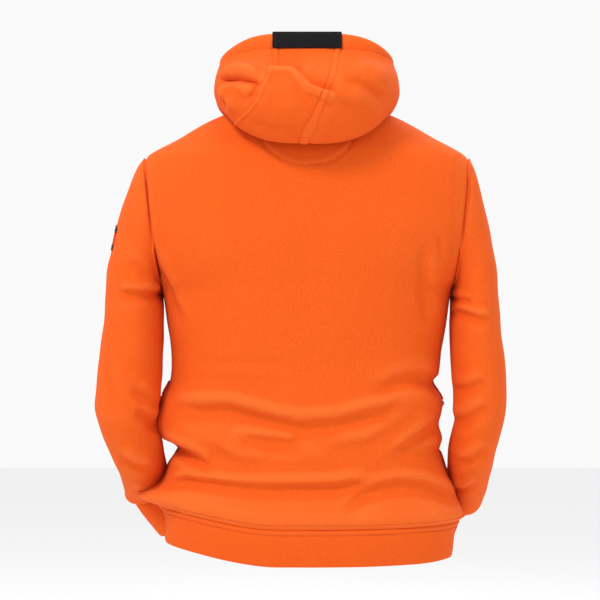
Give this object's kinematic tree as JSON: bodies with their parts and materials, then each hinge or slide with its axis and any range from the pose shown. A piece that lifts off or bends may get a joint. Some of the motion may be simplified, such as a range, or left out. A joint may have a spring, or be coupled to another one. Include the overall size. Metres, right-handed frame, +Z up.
{
  "type": "hooded sweatshirt with hand-warmer pouch",
  "caption": "Pullover hooded sweatshirt in worn shape, hood down, with a front hand-warmer pouch, set-in sleeves, plain hem band and cuffs, and a loop strip on the hood's brim.",
  "frame": {"origin": "middle of the neck opening, at the height of the neck seam", "axes": "+Z up, +Y towards the wearer's front (the pouch side), +X towards the wearer's right"},
  "size_m": [0.6046, 0.3386, 0.7519],
  "materials": {
    "fleece": "brushed cotton fleece knit",
    "fleece_band": "folded cotton knit band",
    "fleece_lining": "knit lining and facing",
    "thread": "polyester sewing thread",
    "tape": "woven herringbone tape",
    "label": "woven satin label, blank",
    "patch_black": "embroidered twill edge",
    "patch_red": "plain twill field",
    "loop_tape": "brushed nylon loop tape",
    "eyelet": "pressed steel eyelet"
  },
  "bodies": {
    "torso": {"back_panel": "fleece", "front_panel": "fleece", "hem_band": "fleece_band", "pouch_pocket": "fleece", "pouch_left_facing": "fleece_lining", "pouch_right_facing": "fleece_lining", "pouch_bartacks": "thread", "neck_tape": "tape", "half_moon_patch": "fleece_lining", "neck_label": "label"},
    "left_arm": {"left_sleeve": "fleece", "left_cuff": "fleece_band", "sleeve_patch_frame": "patch_black", "sleeve_patch_field": "patch_red"},
    "right_arm": {"right_sleeve": "fleece", "right_cuff": "fleece_band"},
    "hood": {"hood_left_panel": "fleece", "hood_centre_panel": "fleece", "hood_right_panel": "fleece", "hood_left_lining": "fleece_lining", "hood_centre_lining": "fleece_lining", "hood_right_lining": "fleece_lining", "brim_facing": "fleece_lining", "loop_strip": "loop_tape", "hood_eyelets": "eyelet"}
  },
  "joints": [
    {"name": "left_sleeve_swing", "type": "hinge", "parent": "torso", "child": "left_arm", "pos_m": [-0.238, 0, -0.0595], "axis": [0, 1, 0], "range_deg": [0, 40]},
    {"name": "right_sleeve_swing", "type": "hinge", "parent": "torso", "child": "right_arm", "pos_m": [0.238, 0, -0.0595], "axis": [0, -1, 0], "range_deg": [0, 40]},
    {"name": "hood_lift", "type": "hinge", "parent": "torso", "child": "hood", "pos_m": [0, 0.108, -0.072], "axis": [-1, 0, 0], "range_deg": [0, 12]}
  ]
}
